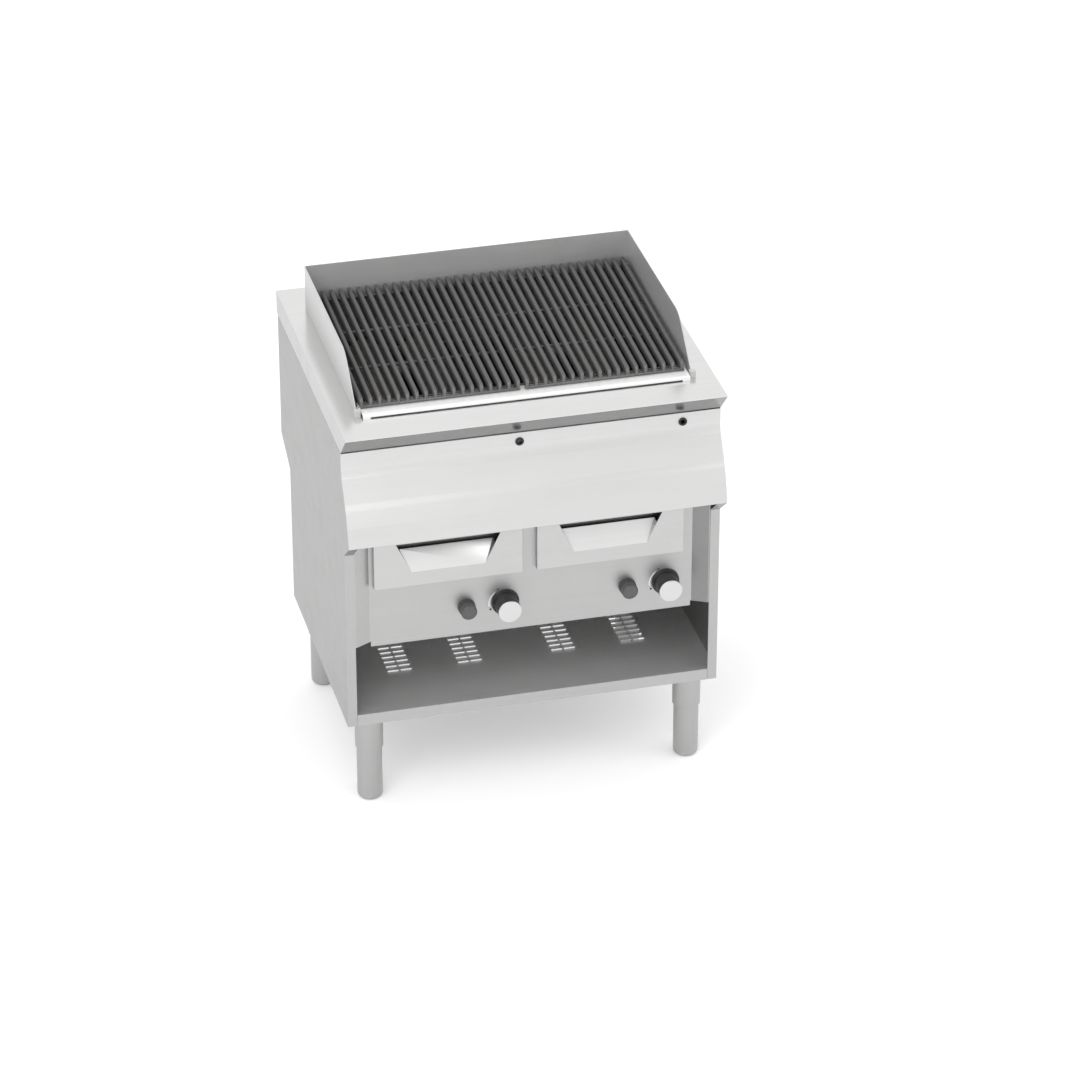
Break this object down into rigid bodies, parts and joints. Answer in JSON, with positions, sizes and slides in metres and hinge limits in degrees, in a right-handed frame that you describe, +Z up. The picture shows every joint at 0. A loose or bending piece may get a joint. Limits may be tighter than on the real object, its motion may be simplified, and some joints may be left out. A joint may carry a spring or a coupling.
{
  "type": "gas char grill",
  "caption": "Free-standing gas char grill: slatted cast grate with low splash guard and fat gutter, water drawers, push-turn gas knobs, igniter buttons, open storage base on round legs.",
  "frame": {"origin": "on the floor under the middle of the grill's bounding box", "axes": "+Z up, -Y towards the cook, +X to the cook's right"},
  "size_m": [0.8, 0.713, 0.995],
  "materials": {
    "worktop_steel": "bright, almost mirror finish",
    "panel_steel": "satin, fine horizontal grain",
    "guard_steel": "bright finish",
    "gutter_steel": "polished",
    "hidden_steel": "dull mill finish",
    "grate_iron": "sand cast, seasoned, worn brighter on the tops",
    "leg_steel": "satin tube",
    "knob_plastic": "moulded thermoset, slightly satin",
    "cap_face": "satin disc",
    "button_plastic": "moulded",
    "bush_plastic": "moulded",
    "valve_brass": "machined",
    "spindle_steel": "machined",
    "pipe_steel": "zinc plated",
    "lead_jacket": "silicone sleeve",
    "thermocouple_copper": "drawn copper",
    "electrode_ceramic": "glazed ceramic",
    "fastener_steel": "zinc plated"
  },
  "bodies": {
    "frame": {"worktop": "worktop_steel", "fascia_panel": "panel_steel", "side_panel_left": "panel_steel", "side_panel_right": "panel_steel", "back_panel": "panel_steel", "base_shelf": "panel_steel", "compartment_ceiling": "panel_steel", "control_panel": "panel_steel", "rear_cross_member": "hidden_steel", "drawer_rails_left": "hidden_steel", "drawer_rails_right": "hidden_steel", "firebox": "hidden_steel", "burner_rails": "hidden_steel", "radiant_rails": "hidden_steel", "radiants_left": "hidden_steel", "radiants_right": "hidden_steel", "burner_left": "hidden_steel", "burner_right": "hidden_steel", "leg_channels": "hidden_steel", "leg_sleeves": "leg_steel", "knob_bezels": "knob_plastic", "button_collars": "button_plastic", "igniter_body_left": "button_plastic", "igniter_body_right": "button_plastic", "sight_bushes": "bush_plastic", "gas_valve_left": "valve_brass", "gas_valve_right": "valve_brass", "injectors": "valve_brass", "inlet_locknut": "valve_brass", "supply_tubes": "spindle_steel", "gas_manifold": "pipe_steel", "ignition_leads": "lead_jacket", "thermocouples": "thermocouple_copper", "electrodes": "electrode_ceramic", "back_panel_screws": "fastener_steel", "leg_bolts": "fastener_steel"},
    "drawer_left": {"drawer_front_left": "panel_steel", "drawer_tray_left": "hidden_steel"},
    "plunger_left": {"valve_plunger_left": "spindle_steel"},
    "knob_turning_left": {"valve_spindle_left": "spindle_steel", "knob_left": "knob_plastic", "knob_cap_left": "cap_face"},
    "button_left": {"igniter_button_left": "button_plastic"},
    "grate_half_left": {"grate_left": "grate_iron"},
    "drawer_right": {"drawer_front_right": "panel_steel", "drawer_tray_right": "hidden_steel"},
    "plunger_right": {"valve_plunger_right": "spindle_steel"},
    "knob_turning_right": {"valve_spindle_right": "spindle_steel", "knob_right": "knob_plastic", "knob_cap_right": "cap_face"},
    "button_right": {"igniter_button_right": "button_plastic"},
    "grate_half_right": {"grate_right": "grate_iron"},
    "gutter": {"fat_gutter": "gutter_steel"},
    "guard": {"splash_guard": "guard_steel"},
    "foot_front_left": {"leg_foot_front_left": "leg_steel"},
    "foot_front_right": {"leg_foot_front_right": "leg_steel"},
    "foot_rear_left": {"leg_foot_rear_left": "leg_steel"},
    "foot_rear_right": {"leg_foot_rear_right": "leg_steel"}
  },
  "joints": [
    {"name": "drawer_left_slide", "type": "slide", "parent": "frame", "child": "drawer_left", "axis": [0, -1, 0], "range_m": [0, 0.42]},
    {"name": "knob_left_push", "type": "slide", "parent": "frame", "child": "plunger_left", "axis": [0, 1, 0], "range_m": [0, 0.005], "stiffness_N_per_m": 900},
    {"name": "knob_left_turn", "type": "hinge", "parent": "plunger_left", "child": "knob_turning_left", "pos_m": [-0.057, -0.3035, 0.447], "axis": [0, 1, 0], "range_deg": [-180, 0]},
    {"name": "button_left_push", "type": "slide", "parent": "frame", "child": "button_left", "axis": [0, 1, 0], "range_m": [0, 0.008], "stiffness_N_per_m": 700},
    {"name": "grate_left_lift", "type": "slide", "parent": "frame", "child": "grate_half_left", "axis": [0, 0, 1], "range_m": [0, 0.2]},
    {"name": "drawer_right_slide", "type": "slide", "parent": "frame", "child": "drawer_right", "axis": [0, -1, 0], "range_m": [0, 0.42]},
    {"name": "knob_right_push", "type": "slide", "parent": "frame", "child": "plunger_right", "axis": [0, 1, 0], "range_m": [0, 0.005], "stiffness_N_per_m": 900},
    {"name": "knob_right_turn", "type": "hinge", "parent": "plunger_right", "child": "knob_turning_right", "pos_m": [0.289, -0.3035, 0.447], "axis": [0, 1, 0], "range_deg": [-180, 0]},
    {"name": "button_right_push", "type": "slide", "parent": "frame", "child": "button_right", "axis": [0, 1, 0], "range_m": [0, 0.008], "stiffness_N_per_m": 700},
    {"name": "grate_right_lift", "type": "slide", "parent": "frame", "child": "grate_half_right", "axis": [0, 0, 1], "range_m": [0, 0.2]},
    {"name": "gutter_pull", "type": "slide", "parent": "frame", "child": "gutter", "axis": [0, -1, 0], "range_m": [0, 0.07]},
    {"name": "guard_lift", "type": "slide", "parent": "frame", "child": "guard", "axis": [0, 0, 1], "range_m": [0, 0.25]},
    {"name": "foot_front_left_adjust", "type": "slide", "parent": "frame", "child": "foot_front_left", "axis": [0, 0, -1], "range_m": [0, 0.05]},
    {"name": "foot_front_right_adjust", "type": "slide", "parent": "frame", "child": "foot_front_right", "axis": [0, 0, -1], "range_m": [0, 0.05]},
    {"name": "foot_rear_left_adjust", "type": "slide", "parent": "frame", "child": "foot_rear_left", "axis": [0, 0, -1], "range_m": [0, 0.05]},
    {"name": "foot_rear_right_adjust", "type": "slide", "parent": "frame", "child": "foot_rear_right", "axis": [0, 0, -1], "range_m": [0, 0.05]}
  ]
}
